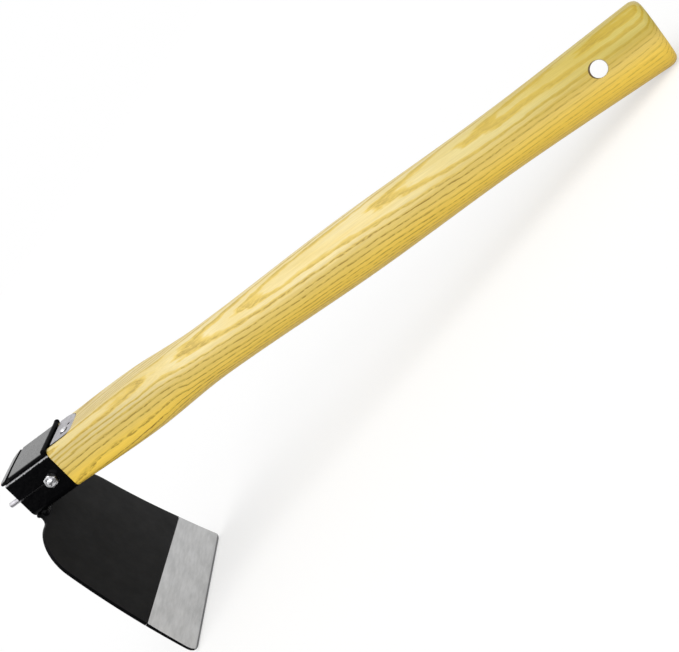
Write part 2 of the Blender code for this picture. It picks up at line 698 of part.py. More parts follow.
# Hole to hang the tool by. Its axis leans, so the near end is the higher one.
def make_hanging_hole_cutter(tool):
    x = HANDLE_LENGTH - HANGING_HOLE_FROM_BUTT
    centre = Vector((x, 0, handle_centre(x) + HANGING_HOLE_RISE))
    axis = Vector((0, math.cos(HANGING_HOLE_CANT), -math.sin(HANGING_HOLE_CANT)))
    reach = BUTT_WIDTH * axis
    rings = [round_ring(end, AXIS_X, axis.cross(AXIS_X), HANGING_HOLE_RADIUS, HOLE_STEPS)
             for end in (centre - reach, centre + reach)]
    return add_cutter("hanging_hole_cutter", loft(rings), tool)


# Corners of a piece in the tool frame, before it is set down
def tool_points(piece):
    matrix = piece.matrix_world
    return [matrix @ v.co for v in piece.data.vertices]


# Sets the tool down on its cutting edge and the butt's underside, with the ground at zero
def set_down(tool, pieces, edge, handle):
    bpy.context.view_layer.update()
    edge_points = tool_points(edge)
    handle_points = tool_points(handle)
    pitch = 0.0
    for _ in range(REST_STEPS):
        def height(point):
            return point.z * math.cos(pitch) - point.x * math.sin(pitch)

        front = min(edge_points, key=height)
        back = min(handle_points, key=height)
        pitch = math.atan2(back.z - front.z, back.x - front.x)
    tool.rotation_euler = (0, pitch, 0)
    bpy.context.view_layer.update()
    points = [point for piece in pieces for point in tool_points(piece)]
    lows = [min(point[i] for point in points) for i in range(3)]
    highs = [max(point[i] for point in points) for i in range(3)]
    tool.location = (-(lows[0] + highs[0]) / 2, -(lows[1] + highs[1]) / 2, -lows[2])
    bpy.context.view_layer.update()


def main():
    for obj in list(bpy.data.objects):
        bpy.data.objects.remove(obj, do_unlink=True)

    wood = make_material("varnished_ash", (0.70, 0.50, 0.18), 0.35, 0.0)
    enamel = make_material("black_enamel", (0.010, 0.010, 0.012), 0.28, 0.0)
    paint = make_material("black_paint", (0.020, 0.020, 0.021), 0.45, 0.0)
    steel = make_material("ground_steel", (0.46, 0.46, 0.46), 0.35, 1.0)
    zinc = make_material("zinc_plate", (0.60, 0.60, 0.63), 0.30, 1.0)

    tool = add_frame("tool")
    blade_frame = add_frame("blade_frame", tool)
    blade_frame.location = (BLADE_X, 0, SOCKET_BOTTOM)
    blade_frame.rotation_euler = (0, -NECK_LEAN, 0)

    channel = make_socket_channel(tool, enamel)
    plate = make_top_plate(tool, enamel)
    blade = make_blade(blade_frame, paint)
    edge = make_cutting_edge(blade_frame, steel)
    make_welds(tool, enamel)
    wedge = make_wedge(tool, zinc)
    nail = make_nail(tool, zinc)
    bolt = make_bolt(tool, zinc)
    nut = make_nut(tool, zinc)
    pin = make_pin(tool, zinc)
    handle = make_handle(tool, wood)

    bolt_hole = make_bolt_hole_cutter(tool)
    nail_hole = make_nail_hole_cutter(tool)
    cut(channel, bolt_hole)
    cut(channel, make_slit_cutter(tool))
    cut(wedge, nail_hole)
    cut(handle, make_wedge_seat_cutter(tool))
    cut(handle, bolt_hole)
    cut(handle, make_pin_groove_cutter(tool))
    cut(handle, nail_hole)
    cut(handle, make_hanging_hole_cutter(tool))

    set_down(tool, (channel, plate, blade, edge, wedge, nail, bolt, nut, pin, handle), edge, handle)


main()
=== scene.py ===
import math
import random

import bmesh
import bpy
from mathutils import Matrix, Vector


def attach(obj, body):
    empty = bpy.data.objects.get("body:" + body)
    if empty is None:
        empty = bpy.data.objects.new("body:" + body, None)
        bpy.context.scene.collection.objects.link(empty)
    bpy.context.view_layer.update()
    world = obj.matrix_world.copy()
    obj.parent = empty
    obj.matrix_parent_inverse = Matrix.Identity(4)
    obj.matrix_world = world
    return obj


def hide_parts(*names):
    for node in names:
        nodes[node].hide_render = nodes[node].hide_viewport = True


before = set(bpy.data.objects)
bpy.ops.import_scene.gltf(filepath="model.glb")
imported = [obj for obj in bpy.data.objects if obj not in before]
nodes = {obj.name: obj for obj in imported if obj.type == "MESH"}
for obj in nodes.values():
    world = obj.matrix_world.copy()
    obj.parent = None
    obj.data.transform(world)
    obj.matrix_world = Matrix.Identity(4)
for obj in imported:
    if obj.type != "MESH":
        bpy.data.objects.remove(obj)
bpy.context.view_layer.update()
print("frame loaded:", len(nodes), "nodes")

# the tool lies along its own X from the socket's mouth, pitched down to the butt
toolPlace = {"mouth": (-0.16864, -0.00017, 0.116434), "pitch": math.radians(14.6219)}
noiseSpan = (0.3, 0.7)                   # nearly all of a noise lies between these
touch = 0.0001                           # a point this near to a plane counts as on it


def newMaterial(name):
    material = bpy.data.materials.new(name)
    material.use_nodes = True
    shader = material.node_tree.nodes["Principled BSDF"]
    return material, material.node_tree, shader


# what is the same all over goes on the shader's own sockets
def setSockets(shader, settings):
    for name, value in settings.items():
        shader.inputs[name].default_value = value


def addNode(tree, kind, **settings):
    node = tree.nodes.new(kind)
    for key, value in settings.items():
        setattr(node, key, value)
    return node


def connect(tree, source, target):
    tree.links.new(source, target)


# turns world places into places along the tool, then scales them
def toolCoordinates(tree, scale=(1, 1, 1)):
    coordinates = addNode(tree, "ShaderNodeTexCoord")
    untilt = addNode(tree, "ShaderNodeMapping", vector_type="TEXTURE")
    untilt.inputs["Location"].default_value = toolPlace["mouth"]
    untilt.inputs["Rotation"].default_value = (0, toolPlace["pitch"], 0)
    connect(tree, coordinates.outputs["Object"], untilt.inputs["Vector"])
    stretch = addNode(tree, "ShaderNodeMapping", vector_type="POINT")
    stretch.inputs["Scale"].default_value = scale
    connect(tree, untilt.outputs["Vector"], stretch.inputs["Vector"])
    return stretch.outputs["Vector"]


def noise(tree, vector, scale, detail=3.0, roughness=0.5):
    texture = addNode(tree, "ShaderNodeTexNoise")
    texture.inputs["Scale"].default_value = scale
    texture.inputs["Detail"].default_value = detail
    texture.inputs["Roughness"].default_value = roughness
    connect(tree, vector, texture.inputs["Vector"])
    return texture.outputs["Fac"]


# noise with its own scale along, across and up the tool
def stretchedNoise(tree, scale, detail, roughness=0.5):
    return noise(tree, toolCoordinates(tree, scale), 1.0, detail, roughness)


def maths(tree, operation, first, second=None, third=None, clamp=False):
    node = addNode(tree, "ShaderNodeMath", operation=operation, use_clamp=clamp)
    for socket, value in zip(node.inputs, (first, second, third)):
        if value is None:
            continue
        if isinstance(value, (int, float)):
            socket.default_value = value
        else:
            connect(tree, value, socket)
    return node.outputs[0]


def times(tree, first, second):
    return maths(tree, "MULTIPLY", first, second)


def sumOfSquares(tree, first, second):
    return maths(tree, "ADD", times(tree, first, first), times(tree, second, second))


# maps a value from one range to another, clamped
def remap(tree, value, fromLow, fromHigh, toLow=0.0, toHigh=1.0, smooth=False):
    node = addNode(tree, "ShaderNodeMapRange")
    if smooth:
        node.interpolation_type = "SMOOTHSTEP"
    for name, number in (("From Min", fromLow), ("From Max", fromHigh),
                         ("To Min", toLow), ("To Max", toHigh)):
        node.inputs[name].default_value = number
    connect(tree, value, node.inputs["Value"])
    return node.outputs["Result"]


# a curve through a few points, between 0 and 1 both ways
def curve(tree, value, points):
    node = addNode(tree, "ShaderNodeFloatCurve")
    line = node.mapping.curves[0]
    while len(line.points) < len(points):
        line.points.new(0.5, 0.5)
    for spot, (x, y) in zip(line.points, points):
        spot.location = (x, y)
    node.mapping.update()
    connect(tree, value, node.inputs["Value"])
    return node.outputs["Value"]


def mixColour(tree, share, first, second, blend="MIX"):
    node = addNode(tree, "ShaderNodeMix", data_type="RGBA", blend_type=blend)
    for socket, value in ((node.inputs[0], share), (node.inputs[6], first), (node.inputs[7], second)):
        if isinstance(value, (int, float)):
            socket.default_value = value
        elif isinstance(value, tuple):
            socket.default_value = (*value, 1.0)
        else:
            connect(tree, value, socket)
    return node.outputs[2]


def shade(colour, share):
    return tuple(share * part for part in colour)


def bump(tree, height, distance, strength):
    node = addNode(tree, "ShaderNodeBump")
    node.inputs["Strength"].default_value = strength
    node.inputs["Distance"].default_value = distance
    connect(tree, height, node.inputs["Height"])
    return node.outputs["Normal"]


def separate(tree, vector):
    node = addNode(tree, "ShaderNodeSeparateXYZ")
    connect(tree, vector, node.inputs[0])
    return node.outputs


def wear(piece, material):
    piece.data.materials.clear()
    piece.data.materials.append(material)


# varnished ash, flat sawn on the near side's upper half, with straight grain below it
ash = {
    "length": 0.40,                              # the pith curve runs along this much of the tool
    "pithScale": 0.040,                          # its depth below the axis is a share of this
    "pithCurve": ((0.0, 0.456), (0.10, 0.4475), (0.19, 0.484), (0.245, 0.5545), (0.3125, 0.5845), (0.38, 0.593),
                  (0.475, 0.589), (0.5775, 0.616), (0.7125, 0.6785), (0.85, 0.696), (1.0, 0.696)),
    "ringWidth": 0.0015,
    "unevenness": 0.6, "unevenScale": 0.45,      # how far the spacing of the rings comes and goes
    "wave": ((13, 70, 70), 0.0016),              # slow wavering: its scale and its reach
    "ripple": ((110, 420, 420), 0.0007),         # short wavering of each line
    "fibres": ((60, 2600, 2600), 2.0, 0.6),      # noises: scale, detail and roughness
    "dashes": ((320, 1500, 1500), 1.0),
    "patches": ((16, 120, 120), 2.0),
    # each row turns its first two numbers into its last two, or into 0 and 1
    "early": (0.03, 0.30, 1.0, 0.0),             # across a ring, the dark line that it starts with
    "late": (0.93, 1.0, 0.0, 0.8),               # and where it darkens into the next
    "breaks": (0.40, 0.53, 0.30, 1.0),           # the dashes that break the lines up
    "years": (0.15, 0.85, 0.66, 1.0),            # some years are strong and some faint
    "calmUp": (0.0, 0.008, 1.0, 0.50),           # the upper half is calmer
    "calmAlong": (0.22, 0.34, 1.0, 0.50),        # and so is the butt
    "islandStart": (0.24, 0.40), "islandEnd": (0.96, 0.84),
    "patchShare": (0.36, 0.6, 0.55, 1.0), "flatUp": (0.0, 0.0075, 0.10, 1.0),
    "buttAlong": (0.22, 0.36), "buttUp": (-0.002, 0.005),
    # the darker upper side near the head and the amber lower side are painted shade
    "headAlong": (0.03, 0.09, 1.0, 0.0), "headUp": (0.002, 0.010),
    "amberUp": (0.001, -0.011, 0.0, 0.92),
    "fibreShade": (0.92, 1.05),
    "pale": (0.86, 0.72, 0.37),
    "body": (0.79, 0.58, 0.138),
    "vessel": (0.19, 0.095, 0.005), "vesselShare": 0.92,
    # amber of the lower side, painted shade
    "lowerShadeAmber": (0.98, 0.665, 0.080),
    # darkening of the upper side near the head, painted shade
    "headTopShade": (0.88, 0.85, 0.70),
    "buttTint": (0.70, 0.68, 0.30),
    # the colour of the painted shade in the hanging hole
    "holeShadeColour": (0.10, 0.052, 0.010),
    "roughness": (0.48, 0.36),
    "poreSink": -0.7, "relief": (0.00006, 0.5),  # relief: height and strength
    "sockets": {"Specular IOR Level": 0.30, "Coat Weight": 0.12, "Coat Roughness": 0.22},
}
# the bore at the butt, along the tool, and how far it cants as it crosses; its painted shade fades in between two
# distances from its middle, and reaches further to one side
hangingHole = {"x": 0.3546, "z": -0.0009, "cant": math.radians(16.6), "fade": (0.0045, 0.0042),
               "shadeSide": (-0.93, 0.36), "shadeReach": 0.18}


# pushes places sideways by noise
def sway(tree, place, scale, amount):
    source = addNode(tree, "ShaderNodeTexNoise")
    source.inputs["Scale"].default_value = 1.0
    source.inputs["Detail"].default_value = 2.0
    connect(tree, toolCoordinates(tree, scale), source.inputs["Vector"])
    push = addNode(tree, "ShaderNodeVectorMath", operation="MULTIPLY_ADD")
    connect(tree, source.outputs["Color"], push.inputs[0])
    push.inputs[1].default_value = (0, amount, amount)
    connect(tree, place, push.inputs[2])
    return push.outputs[0]


# how far across its ring a place lies, from 0 to 1, and a chance number for that ring
def makeRings(tree, place):
    swayed = sway(tree, sway(tree, place, *ash["wave"]), *ash["ripple"])
    along, across, up = separate(tree, swayed)

    # the pith lies behind and below the near side's upper edge, so that is where the rings lie flat
    share = maths(tree, "DIVIDE", along, ash["length"], clamp=True)
    depth = times(tree, curve(tree, share, ash["pithCurve"]), ash["pithScale"] * math.sqrt(0.5))
    squared = sumOfSquares(tree, maths(tree, "SUBTRACT", across, depth), maths(tree, "ADD", up, depth))
    even = maths(tree, "DIVIDE", maths(tree, "SQRT", squared), ash["ringWidth"])
    spacing = addNode(tree, "ShaderNodeTexNoise", noise_dimensions="1D")
    spacing.inputs["Scale"].default_value = ash["unevenScale"]
    spacing.inputs["Detail"].default_value = 1.0
    connect(tree, even, spacing.inputs["W"])
    rings = maths(tree, "MULTIPLY_ADD", spacing.outputs["Fac"], ash["unevenness"], even)
    year = addNode(tree, "ShaderNodeTexWhiteNoise", noise_dimensions="1D")
    connect(tree, maths(tree, "FLOOR", rings), year.inputs["W"])
    return maths(tree, "FRACT", rings), year.outputs["Value"]


# how dark the lines of pores are
def makePores(tree, part, year, along, up):
    line = maths(tree, "MAXIMUM", remap(tree, part, *ash["early"], smooth=True),
                 remap(tree, part, *ash["late"], smooth=True))
    broken = remap(tree, stretchedNoise(tree, *ash["dashes"]), *ash["breaks"])
    strong = times(tree, remap(tree, year, *ash["years"]), remap(tree, up, *ash["calmUp"], smooth=True))
    fading = remap(tree, along, *ash["calmAlong"], smooth=True)
    return times(tree, times(tree, line, broken), times(tree, strong, fading))


# 1 in the hanging hole and on a crescent beside it, up and towards the head: painted shade of the bore's wall
def paintedHoleShade(tree, along, across, up):
    cant = hangingHole["cant"]
    offX = maths(tree, "SUBTRACT", along, hangingHole["x"])
    level = maths(tree, "MULTIPLY_ADD", across, math.tan(cant), up)
    offZ = times(tree, maths(tree, "SUBTRACT", level, hangingHole["z"]), math.cos(cant))
    away = maths(tree, "SQRT", sumOfSquares(tree, offX, offZ))
    sideX, sideZ = hangingHole["shadeSide"]
    side = maths(tree, "ADD", times(tree, offX, sideX), times(tree, offZ, sideZ))
    edge = maths(tree, "MULTIPLY_ADD", side, -hangingHole["shadeReach"], away)
    return remap(tree, edge, *hangingHole["fade"], smooth=True)


def makeAsh():
    material, tree, shader = newMaterial("varnishedAsh")
    place = toolCoordinates(tree)
    along, across, up = separate(tree, place)
    part, year = makeRings(tree, place)
    fibre = stretchedNoise(tree, *ash["fibres"])
    pores = makePores(tree, part, year, along, up)

    # pale islands of late wood, broad where the rings lie flat
    island = times(tree, remap(tree, part, *ash["islandStart"], smooth=True),
                   remap(tree, part, *ash["islandEnd"], smooth=True))
    flatSawn = times(tree, remap(tree, stretchedNoise(tree, *ash["patches"]), *ash["patchShare"]),
                     remap(tree, up, *ash["flatUp"], smooth=True))
    base = mixColour(tree, times(tree, island, flatSawn), ash["body"], ash["pale"])

    # at the two ends the upper side is darker, near the head as painted shade; the lower side is amber as painted
    # shade; then the pores and the fibres
    for alongRange, upRange, tint in (("buttAlong", "buttUp", "buttTint"), ("headAlong", "headUp", "headTopShade")):
        share = times(tree, remap(tree, along, *ash[alongRange]), remap(tree, up, *ash[upRange]))
        base = mixColour(tree, share, base, ash[tint], "MULTIPLY")
    base = mixColour(tree, remap(tree, up, *ash["amberUp"], smooth=True), base, ash["lowerShadeAmber"])
    base = mixColour(tree, times(tree, pores, ash["vesselShare"]), base, ash["vessel"])
    fine = remap(tree, fibre, *noiseSpan, *ash["fibreShade"])
    fineGrey = addNode(tree, "ShaderNodeCombineColor")
    for socket in fineGrey.inputs:
        connect(tree, fine, socket)
    base = mixColour(tree, 1.0, base, fineGrey.outputs[0], "MULTIPLY")
    # painted shade in the hanging hole and on its edge towards the head
    base = mixColour(tree, paintedHoleShade(tree, along, across, up), base, ash["holeShadeColour"])
    connect(tree, base, shader.inputs["Base Color"])

    connect(tree, remap(tree, fibre, *noiseSpan, *ash["roughness"]), shader.inputs["Roughness"])
    setSockets(shader, ash["sockets"])
    height = maths(tree, "MULTIPLY_ADD", pores, ash["poreSink"], fibre)
    connect(tree, bump(tree, height, *ash["relief"]), shader.inputs["Normal"])
    return material


# black enamel, thick and a little bubbled, with a grey band along the tops of the socket's walls that is rubbed
# wear and painted highlight both
enamel = {"colour": (0.0022, 0.0022, 0.0026), "rubbedHighlightColour": (0.42, 0.42, 0.43),
          "dust": (900.0, 2.0), "bubbles": (260.0, 3.0, 0.55), "scuffs": (700.0, 3.0, 0.6),
          "bubbleHeight": 0.00022, "rimStart": 0.0105, "rimFull": 0.0110, "scuffReach": 0.0016}
# one enamel in three copies that differ in gloss: the panel reflects, while the walls and the border reflect
# almost nothing and stay black as painted shade
enamelGloss = {
    "wall": {"roughness": (0.18, 0.30), "bubbleStrength": 1.0,
             "sockets": {"Specular IOR Level": 0.05, "Coat Weight": 0.0, "Coat Roughness": 0.15}},
    "panel": {"roughness": (0.22, 0.34), "bubbleStrength": 0.16,
              "sockets": {"Specular IOR Level": 0.5, "Coat Weight": 0.22, "Coat Roughness": 0.15}},
    "border": {"roughness": (0.30, 0.42), "bubbleStrength": 0.6,
               "sockets": {"Specular IOR Level": 0.03, "Coat Weight": 0.0, "Coat Roughness": 0.15}},
}


def makeEnamel(name, where):
    material, tree, shader = newMaterial(name)
    place = toolCoordinates(tree)
    gloss = enamelGloss[where]
    setSockets(shader, gloss["sockets"])
    dust = noise(tree, place, *enamel["dust"])
    connect(tree, remap(tree, dust, *noiseSpan, *gloss["roughness"]), shader.inputs["Roughness"])
    lumps = noise(tree, place, *enamel["bubbles"])
    connect(tree, bump(tree, lumps, enamel["bubbleHeight"], gloss["bubbleStrength"]), shader.inputs["Normal"])
    if where != "wall":
        shader.inputs["Base Color"].default_value = (*enamel["colour"], 1.0)
        return material
    up = separate(tree, place)[2]
    scuffs = maths(tree, "SUBTRACT", noise(tree, place, *enamel["scuffs"]), 0.5)
    edge = maths(tree, "MULTIPLY_ADD", scuffs, enamel["scuffReach"], up)
    # the grey band on the wall tops: rubbed wear, and a painted highlight on the rim
    rubbedAndHighlight = remap(tree, edge, enamel["rimStart"], enamel["rimFull"], smooth=True)
    connect(tree, mixColour(tree, rubbedAndHighlight, enamel["colour"], enamel["rubbedHighlightColour"]), shader.inputs["Base Color"])
    return material


# satin black paint on the blade
paint = {"colour": (0.0155, 0.0155, 0.0158), "shades": (0.86, 1.14), "roughness": (0.50, 0.60),
         "mottle": (130.0, 4.0, 0.6), "mottleSpan": (0.35, 0.65), "rubbing": (60.0, 3.0),
         "orangePeel": (700.0, 2.0), "relief": (0.00004, 0.5), "sockets": {"Specular IOR Level": 0.06}}


def makePaint():
    material, tree, shader = newMaterial("blackPaint")
    place = toolCoordinates(tree)
    setSockets(shader, paint["sockets"])
    mottle = remap(tree, noise(tree, place, *paint["mottle"]), *paint["mottleSpan"])
    dark, light = (shade(paint["colour"], share) for share in paint["shades"])
    connect(tree, mixColour(tree, mottle, dark, light), shader.inputs["Base Color"])
    rubbing = noise(tree, place, *paint["rubbing"])
    connect(tree, remap(tree, rubbing, *noiseSpan, *paint["roughness"]), shader.inputs["Roughness"])
    orangePeel = noise(tree, place, *paint["orangePeel"])
    connect(tree, bump(tree, orangePeel, *paint["relief"]), shader.inputs["Normal"])
    return material


# ground steel, with marks along the edge; a darker copy on the bevel is painted shade
ground = {"colour": (0.50, 0.50, 0.50), "bevelShadeColour": (0.17, 0.17, 0.175), "bevelHeight": 0.0019,
          "streaks": ((600, 110, 600), 4.0, 0.65), "streakShare": 0.6,
          "clouds": ((110, 60, 160), 2.0), "cloudShare": 0.4,
          "shades": (0.87, 1.10), "shadeSpan": (0.38, 0.62), "roughness": (0.36, 0.46),
          "relief": (0.00001, 0.5), "sockets": {"Metallic": 1.0}}


def makeGroundSteel(name, colour):
    material, tree, shader = newMaterial(name)
    setSockets(shader, ground["sockets"])
    streaks = stretchedNoise(tree, *ground["streaks"])
    clouds = stretchedNoise(tree, *ground["clouds"])
    mixed = maths(tree, "MULTIPLY_ADD", streaks, ground["streakShare"], times(tree, clouds, ground["cloudShare"]))
    dark, light = (shade(colour, share) for share in ground["shades"])
    connect(tree, mixColour(tree, remap(tree, mixed, *ground["shadeSpan"]), dark, light),
            shader.inputs["Base Color"])
    connect(tree, remap(tree, streaks, *noiseSpan, *ground["roughness"]), shader.inputs["Roughness"])
    connect(tree, bump(tree, streaks, *ground["relief"]), shader.inputs["Normal"])
    return material


# zinc plate: dull on the wedge and the pin, bright on the nail, the bolt and the nut, dark on sheared edges,
# and dark as painted shade on the wedge's rounded sides, in its spare hole and under the nail's head
zinc = {"dull": {"colour": (0.46, 0.45, 0.475), "roughness": (0.46, 0.30)},
        "bright": {"colour": (0.76, 0.76, 0.78), "roughness": (0.38, 0.22)},
        "shearedAndShade": {"colour": (0.045, 0.043, 0.045), "roughness": (0.62, 0.46)},
        "spots": (420.0, 3.0, 0.6), "spotSpan": (0.36, 0.6), "spotShade": 0.74,
        "relief": (0.00004, 0.4), "sockets": {"Metallic": 1.0}}


def makeZinc(name, kind):
    material, tree, shader = newMaterial(name)
    setSockets(shader, zinc["sockets"])
    colour = zinc[kind]["colour"]
    spots = noise(tree, toolCoordinates(tree), *zinc["spots"])
    connect(tree, mixColour(tree, remap(tree, spots, *zinc["spotSpan"]), shade(colour, zinc["spotShade"]), colour),
            shader.inputs["Base Color"])
    connect(tree, remap(tree, spots, *noiseSpan, *zinc[kind]["roughness"]), shader.inputs["Roughness"])
    connect(tree, bump(tree, spots, *zinc["relief"]), shader.inputs["Normal"])
    return material


ashWood = makeAsh()
blackEnamel = makeEnamel("blackEnamel", "wall")
panelEnamel = makeEnamel("panelEnamel", "panel")
shadedBorderEnamel = makeEnamel("shadedBorderEnamel", "border")
blackPaint = makePaint()
groundSteel = makeGroundSteel("groundSteel", ground["colour"])
shadedBevelSteel = makeGroundSteel("shadedBevelSteel", ground["bevelShadeColour"])
wedgeZinc = makeZinc("wedgeZinc", "dull")
hardwareZinc = makeZinc("hardwareZinc", "bright")
shearedAndShadeZinc = makeZinc("shearedAndShadeZinc", "shearedAndShade")
for material, names in ((ashWood, ("handle",)),
                        (blackEnamel, ("socket_channel", "weld_back", "weld_front")),
                        (panelEnamel, ("top_plate",)),
                        (blackPaint, ("blade",)),
                        (groundSteel, ("cutting_edge",)),
                        (wedgeZinc, ("wedge", "locking_pin")),
                        (hardwareZinc, ("wedge_nail", "cross_bolt", "bolt_nut"))):
    for name in names:
        wear(nodes[name], material)
print("materials made")


# before a primitive is added, nothing else may be selected
def chooseNothing():
    bpy.ops.object.select_all(action="DESELECT")


def choose(*pieces):
    chooseNothing()
    for piece in pieces:
        piece.select_set(True)
    bpy.context.view_layer.objects.active = pieces[0]


# fixes the place and size of a fresh primitive in its mesh
def fixPlace():
    bpy.ops.object.transform_apply(location=True, rotation=True, scale=True)
    return bpy.context.object


def joinAll(pieces):
    choose(*pieces)
    bpy.ops.object.join()
    return bpy.context.object


# selects the points, edges or faces of the piece in edit mode that pass a test
def pick(kind, test):
    bpy.ops.mesh.select_mode(type=kind)
    bpy.ops.mesh.select_all(action="DESELECT")
    mesh = bpy.context.object.data
    shape = bmesh.from_edit_mesh(mesh)
    for part in {"VERT": shape.verts, "EDGE": shape.edges, "FACE": shape.faces}[kind]:
        if test(part):
            part.select_set(True)
    bmesh.update_edit_mesh(mesh)


def applyModifier(piece, kind, **settings):
    choose(piece)
    modifier = piece.modifiers.new("shaper", kind)
    for key, value in settings.items():
        setattr(modifier, key, value)
    bpy.ops.object.modifier_apply(modifier=modifier.name)


# runs the parts of a piece into one skin
def melt(piece, voxel, strength, rounds):
    applyModifier(piece, "REMESH", mode="VOXEL", voxel_size=voxel)
    applyModifier(piece, "SMOOTH", factor=strength, iterations=rounds)


def roundEdges(piece, width, segments, angle):
    applyModifier(piece, "BEVEL", width=width, segments=segments, limit_method="ANGLE",
                  angle_limit=math.radians(angle))


# cuts a piece with another, or keeps what they share, and throws the cutter away
def cutWith(piece, cutter, operation):
    applyModifier(piece, "BOOLEAN", operation=operation, solver="EXACT", object=cutter)
    bpy.data.objects.remove(cutter)


# sets a piece that was modelled along the tool down in its place
def settle(piece):
    choose(piece)
    piece.location = toolPlace["mouth"]
    piece.rotation_euler = (0, toolPlace["pitch"], 0)
    bpy.ops.object.transform_apply(location=True, rotation=True, scale=True)


# names a piece, smooths it below an angle, and lets it stand for its CAD node
def standFor(piece, name, nodeName, material, smoothBelow):
    piece.name = name
    piece.data.name = name
    choose(piece)
    bpy.ops.object.shade_smooth_by_angle(angle=math.radians(smoothBelow))
    wear(piece, material)
    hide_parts(nodeName)
    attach(piece, "root")


# a merged copy of a CAD node, to round its edges
def copyNode(nodeName):
    piece = bpy.data.objects.new(nodeName + "Copy", nodes[nodeName].data.copy())
    bpy.context.scene.collection.objects.link(piece)
    choose(piece)
    bpy.ops.mesh.customdata_custom_splitnormals_clear()
    bpy.ops.object.mode_set(mode="EDIT")
    bpy.ops.mesh.select_all(action="SELECT")
    bpy.ops.mesh.remove_doubles(threshold=0.00001)
    bpy.ops.object.mode_set(mode="OBJECT")
    return piece


def addLump(place, radius, squash):
    chooseNothing()
    bpy.ops.mesh.primitive_uv_sphere_add(segments=20, ring_count=12, radius=radius, location=place)
    bpy.context.object.scale = squash
    return fixPlace()


# plate over the socket: a rolled bar at the mouth, a groove and a nose that slopes down
topPlate = {
    "noseX": -0.0367, "halfWidth": 0.0178, "low": 0.0116, "high": 0.0140,
    "corner": 0.0060, "edgeRadius": 0.0013, "noseAngle": 8.0,
    "upright": 0.001,                            # an edge that rises more than this is upright
    "rimDrop": 0.0007, "rimAngle": 50.0,         # the upper rim: sharp edges no lower than this below the middle
    "rollRadius": 0.00155, "rollCentre": (-0.0010, 0.0140), "rollCorner": 0.0007,
    "dripRadius": 0.0018, "dripInset": 0.0012, "dripShift": 0.0002, "dripSquash": (1.0, 0.9, 0.9),
    "grooveX": -0.0299, "grooveSweep": 0.16, "grooveRadius": 0.0015, "grooveSink": 0.0004,
    "voxel": 0.00026, "smoothing": (0.5, 3),
    # where the deep black border starts: along the roll, either side of the groove, and on slopes
    "bandStart": -0.0027, "grooveReach": 0.0026, "grooveDip": 0.00012, "flatness": 0.80,
}


def makeTopPlate():
    sizes = topPlate
    plate = makeSlab(sizes)
    roll = makeRoll(sizes)
    rollX, rollZ = sizes["rollCentre"]
    shift = sizes["dripShift"]
    dripPlace = (rollX + shift, sizes["halfWidth"] - sizes["dripInset"], rollZ + shift)
    drip = addLump(dripPlace, sizes["dripRadius"], sizes["dripSquash"])
    plate = joinAll([plate, roll, drip])
    melt(plate, sizes["voxel"], *sizes["smoothing"])
    cutGroove(plate, sizes)
    return plate


# the flat plate: round corners at the nose, which slopes down past the groove, and a rounded upper rim
def makeSlab(sizes):
    chooseNothing()
    middle = (sizes["noseX"] / 2, 0, (sizes["low"] + sizes["high"]) / 2)
    bpy.ops.mesh.primitive_cube_add(size=1, location=middle)
    plate = bpy.context.object
    plate.scale = (-sizes["noseX"], 2 * sizes["halfWidth"], sizes["high"] - sizes["low"])
    fixPlace()
    bpy.ops.object.mode_set(mode="EDIT")
    pick("EDGE", lambda edge: max(v.co.x for v in edge.verts) < sizes["noseX"] + touch
         and abs(edge.verts[0].co.z - edge.verts[1].co.z) > sizes["upright"])
    bpy.ops.mesh.bevel(offset=sizes["corner"], offset_type="OFFSET", segments=10)
    bpy.ops.mesh.select_all(action="SELECT")
    bpy.ops.mesh.bisect(plane_co=(sizes["grooveX"], 0, 0), plane_no=(1, 0, 0))
    pick("VERT", lambda v: v.co.z > sizes["high"] - touch and v.co.x < sizes["grooveX"] - touch)
    drop = math.tan(math.radians(sizes["noseAngle"]))
    for v in bmesh.from_edit_mesh(plate.data).verts:
        if v.select:
            v.co.z -= drop * (sizes["grooveX"] - v.co.x)
    pick("EDGE", lambda edge: isUpperRim(edge, sizes))
    bpy.ops.mesh.bevel(offset=sizes["edgeRadius"], offset_type="OFFSET", segments=5)
    bpy.ops.object.mode_set(mode="OBJECT")
    return plate


def isUpperRim(edge, sizes):
    low = min(v.co.z for v in edge.verts)
    if low < (sizes["low"] + sizes["high"]) / 2 - sizes["rimDrop"] or edge.is_boundary:
        return False
    return edge.calc_face_angle(0.0) > math.radians(sizes["rimAngle"])


# the bar across the mouth, with its ends rounded
def makeRoll(sizes):
    chooseNothing()
    rollX, rollZ = sizes["rollCentre"]
    bpy.ops.mesh.primitive_cylinder_add(vertices=32, radius=sizes["rollRadius"], depth=2 * sizes["halfWidth"],
                                        location=(rollX, 0, rollZ), rotation=(math.pi / 2, 0, 0))
    fixPlace()
    bpy.ops.object.mode_set(mode="EDIT")
    pick("EDGE", lambda edge: min(abs(v.co.y) for v in edge.verts) > sizes["halfWidth"] - touch
         and edge.verts[0].co.y * edge.verts[1].co.y > 0)
    bpy.ops.mesh.bevel(offset=sizes["rollCorner"], offset_type="OFFSET", segments=3)
    bpy.ops.object.mode_set(mode="OBJECT")
    return bpy.context.object


# the groove is cut by the edge of a wide ring, so it bends a little
def cutGroove(plate, sizes):
    chooseNothing()
    sweep = sizes["grooveSweep"]
    bpy.ops.mesh.primitive_torus_add(location=(sizes["grooveX"] + sweep, 0, sizes["high"] - sizes["grooveSink"]),
                                     major_radius=sweep, minor_radius=sizes["grooveRadius"],
                                     major_segments=512, minor_segments=12)
    cutWith(plate, fixPlace(), "DIFFERENCE")


# gives chosen faces of a piece one more material
def wearAlso(piece, material, chosen):
    piece.data.materials.append(material)
    for face, isChosen in zip(piece.data.polygons, chosen):
        if isChosen:
            face.material_index = len(piece.data.materials) - 1


